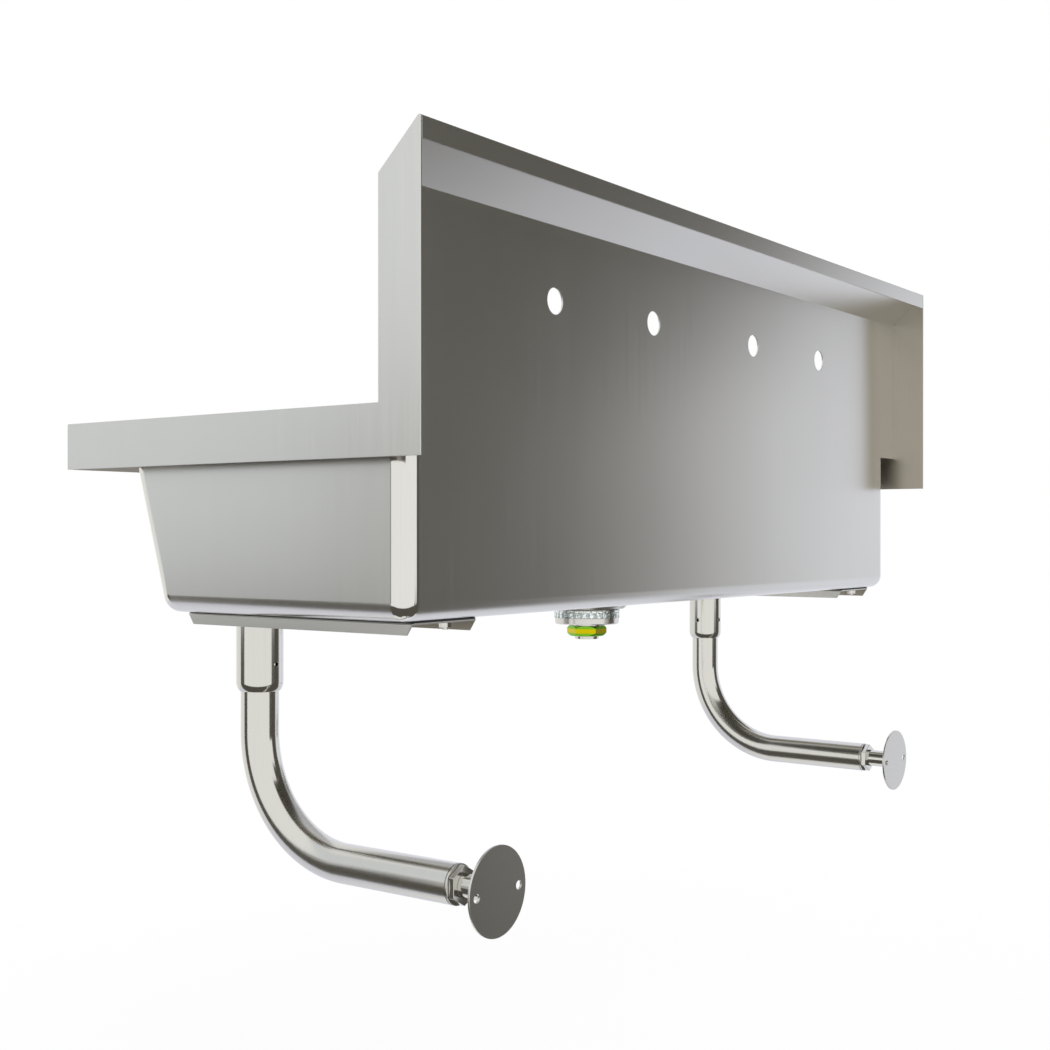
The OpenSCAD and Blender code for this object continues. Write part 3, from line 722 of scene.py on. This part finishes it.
def makeFloor():
    material, board = newMaterial("paleFloor")
    seen = board.add("ShaderNodeLightPath", None, None, "Is Camera Ray")
    x, y, _ = board.xyz(board.objectPlace())
    fade = past(board, board.maths("SQRT", x ** 2 + y ** 2), studio["shadowReach"], studio["shadowReach"])
    matt = board.add("ShaderNodeBsdfDiffuse", None, {"Color": studio["floorTint"]})
    white = board.add("ShaderNodeEmission", None, {"Color": plainWhite, "Strength": 1.0})
    share = seen * (studio["floorGlow"] + (1 - studio["floorGlow"]) * fade)
    closeMaterial(board, board.add("ShaderNodeMixShader", None, {0: share, 1: matt, 2: white}))
    half = studio["floorSize"] / 2
    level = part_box("deck")[1].z - studio["floorBelow"]
    corners = [(-half, -half, level), (half, -half, level), (half, half, level), (-half, half, level)]
    mesh = bpy.data.meshes.new("floor")
    mesh.from_pydata(corners, [], [(0, 1, 2, 3)])
    mesh.materials.append(material)
    floor = newObject("floor", mesh)
    floor.visible_glossy = False


# What mirrored rays see: a wide ball with a soft box, a dark curtain below and beside it, and pale walls.
# Angles are degrees. From, To and Facing go round from +X towards +Y, and Top, Foot and knee go up.
# An Edge is how wide a soft step is, and a lean is degrees round for each degree up or down
reflected = {
    "reach": 8.0, "centre": (0.0, -0.25, -0.37), "ballSplits": 4,
    "bright": (1.03, 1.025, 1.0, 1), "grey": (0.8, 0.825, 0.845, 1), "dark": (0.105, 0.098, 0.083, 1),
    "pale": (0.95, 0.965, 1.04, 1), "lowPale": (0.83, 0.84, 0.915, 1), "warm": (0.96, 0.955, 0.925, 1),
    "countFrom": -125, "curtainFrom": -57, "stripFrom": -38.5, "boxFrom": -33.5,
    "boxTo": 101, "wingTo": 118, "curtainTo": 148.8, "warmTo": 152,
    "curtainTop": -3.8, "stripTop": 6, "wingTop": 20, "tallTop": 60, "curtainFoot": -80,
    "lowTop": -22, "lowFoot": -52,  # of the walls' dimmer band
    "boxEdge": 1.5, "fadeEdge": 8, "curtainEdge": 9, "warmEdge": 8,
    "tilt": 0.6, "tiltFacing": 38,  # the soft box's foot runs on a tilted plane
    "knee": 5.5, "leanAbove": 0.9, "leanUnder": 0.16, "underMost": 7,
    "shinTop": -15, "leanShin": 0.6, "shinMost": 13.6,
}


# The curtain's far edge leans by its own slope above the knee, just under it and down the shin
def leaned(board, turn, climb):
    look = reflected
    above = board.maths("MAXIMUM", climb - look["knee"], 0.0)
    under = board.maths("MINIMUM", board.maths("MAXIMUM", look["knee"] - climb, 0.0), look["underMost"])
    shin = board.maths("MAXIMUM", look["shinTop"] - climb, 0.0)
    upper = turn - look["leanAbove"] * above - look["leanUnder"] * under
    return upper - board.maths("MINIMUM", look["leanShin"] * shin, look["shinMost"])


# The curtain hangs below the soft box, stands beside it, and leaves the box's low wing free
def darkCurtain(board, turn, climb, pastCurtain):
    look = reflected
    edge, fade = look["boxEdge"], look["fadeEdge"]
    fromCurtain, fromStrip, fromBox, pastBox = (past(board, turn, look[key], edge) for key in
                                                ("curtainFrom", "stripFrom", "boxFrom", "boxTo"))
    facing = board.maths("COSINE", (turn - look["tiltFacing"]) / degree)
    boxFoot = -1 * degree * board.maths("ARCTANGENT", look["tilt"] * facing)
    beforeStrip = fromCurtain * (1 - fromStrip) * before(board, climb, look["curtainTop"], edge)
    strip = fromStrip * (1 - fromBox) * before(board, climb, look["stripTop"], fade)
    belowBox = fromBox * (1 - pastBox) * before(board, climb - boxFoot, 0, edge)
    onWing = before(board, turn, look["wingTo"], edge) * past(board, climb, look["curtainTop"], edge)
    onWing = onWing * before(board, climb, look["wingTop"], fade)
    afterBox = pastBox * (1 - pastCurtain) * (1 - onWing) * before(board, climb, look["tallTop"], fade)
    return (beforeStrip + strip + belowBox + afterBox) * past(board, climb, look["curtainFoot"], edge)


def wallTint(board, turn, climb):
    look = reflected
    fade = look["fadeEdge"]
    isLow = before(board, climb, look["lowTop"], fade) * past(board, climb, look["lowFoot"], fade)
    walls = board.mixColour(past(board, turn, look["warmTo"], look["warmEdge"]), look["warm"], look["pale"])
    return board.mixColour(isLow, walls, look["lowPale"])


def makeSurroundings():
    look = reflected
    material, board = newMaterial("surroundings")
    x, y, z = board.xyz(board.objectPlace())
    turn = board.maths("ARCTAN2", y, x) * degree
    turn = turn + 360 * (turn < look["countFrom"])
    climb = board.maths("ARCSINE", z / look["reach"]) * degree
    pastCurtain = past(board, leaned(board, turn, climb), look["curtainTo"], look["curtainEdge"])
    atCurtain = past(board, turn, look["curtainFrom"], look["boxEdge"]) * (1 - pastCurtain)
    fromBox = past(board, turn, look["boxFrom"], look["boxEdge"])
    above = board.mixColour(fromBox, look["grey"], look["bright"])
    lit = board.mixColour(atCurtain, wallTint(board, turn, climb), above)
    tint = board.mixColour(darkCurtain(board, turn, climb, pastCurtain), lit, look["dark"])
    closeMaterial(board, board.add("ShaderNodeEmission", None, {"Color": tint, "Strength": 1.0}))

    def globe(work):
        bmesh.ops.create_icosphere(work, subdivisions=look["ballSplits"], radius=look["reach"])

    mesh = edited(bpy.data.meshes.new("surroundings"), globe)
    mesh.materials.append(material)
    ball = newObject("surroundings", mesh)
    ball.location = look["centre"]
    for kind in ("camera", "diffuse", "transmission", "volume_scatter", "shadow"):
        setattr(ball, "visible_" + kind, False)


def makeLamp(name, place, power):
    lamp = bpy.data.lights.new(name, "AREA")
    lamp.energy = power
    lamp.size = studio["lampSize"]
    holder = newObject(name, lamp)
    holder.location = place
    aim = Vector(reflected["centre"]) - Vector(place)
    holder.rotation_euler = aim.to_track_quat("-Z", "Y").to_euler()
    holder.visible_glossy = False


makeCamera()
makeWorld()
makeFloor()
makeSurroundings()
for name, (place, power) in studio["lamps"].items():
    makeLamp(name, place, power)
bpy.context.scene.view_settings.view_transform = "Standard"
print("studio set")
